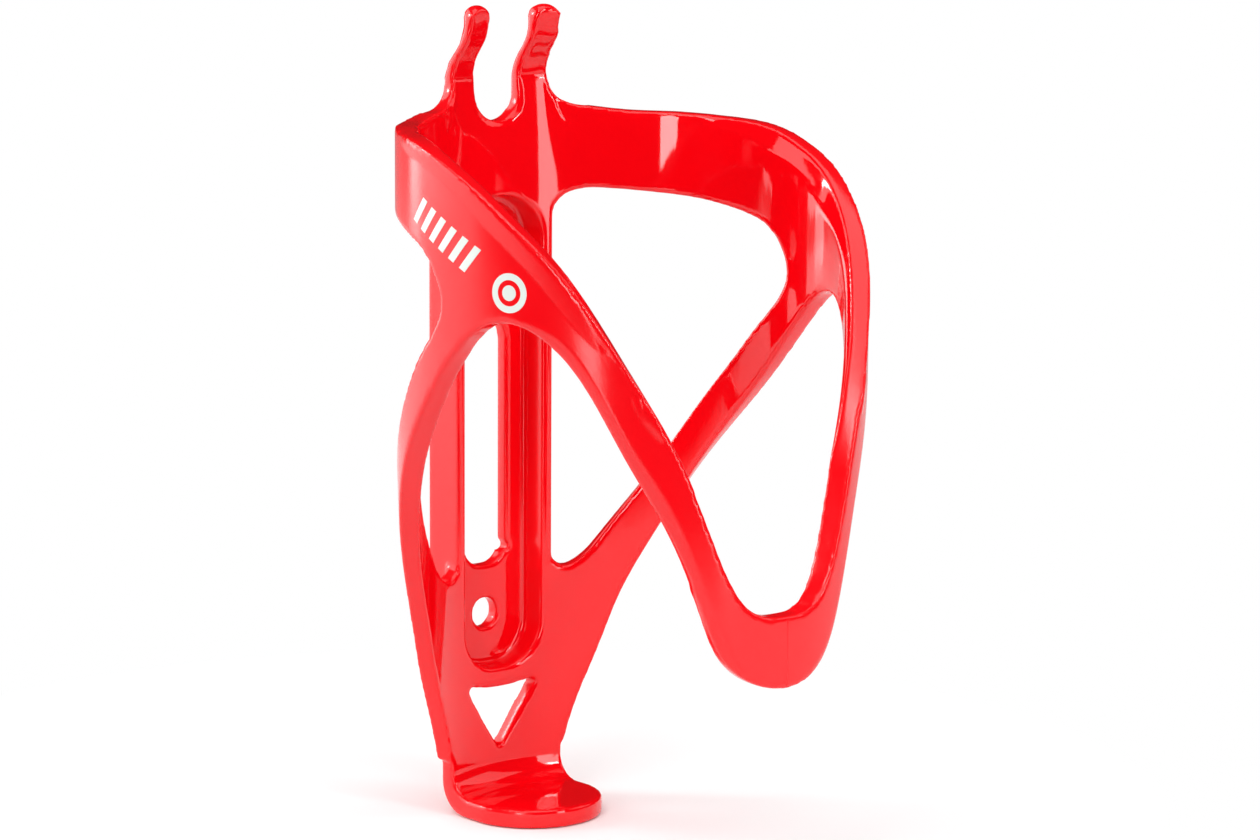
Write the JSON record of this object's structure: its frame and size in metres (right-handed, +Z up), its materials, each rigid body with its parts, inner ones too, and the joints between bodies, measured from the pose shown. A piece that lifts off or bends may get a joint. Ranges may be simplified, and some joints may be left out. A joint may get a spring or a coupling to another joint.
{
  "type": "bottle cage",
  "caption": "Moulded plastic bottle cage with wrap-around arms, a long bolt-on rail, two sprung retaining tabs and a bottle shelf.",
  "frame": {"origin": "on the mounting face, midway between the two bolt holes", "axes": "+Y out of the mounting face towards the bicycle frame, +Z up the bottle, -X the left hand side"},
  "size_m": [0.0832, 0.0858, 0.1475],
  "materials": {
    "red_plastic": "satin outside, gloss inside"
  },
  "bodies": {
    "root": {"bottle_shelf": "red_plastic", "front_loop": "red_plastic", "left_arm_junction": "red_plastic", "left_front_arm": "red_plastic", "left_leg": "red_plastic", "left_rail_wall": "red_plastic", "left_rear_band": "red_plastic", "left_tab": "red_plastic", "lower_web": "red_plastic", "rail_plate": "red_plastic", "right_arm_junction": "red_plastic", "right_front_arm": "red_plastic", "right_leg": "red_plastic", "right_rail_wall": "red_plastic", "right_rear_band": "red_plastic", "right_tab": "red_plastic", "upper_web": "red_plastic"}
  },
  "joints": []
}
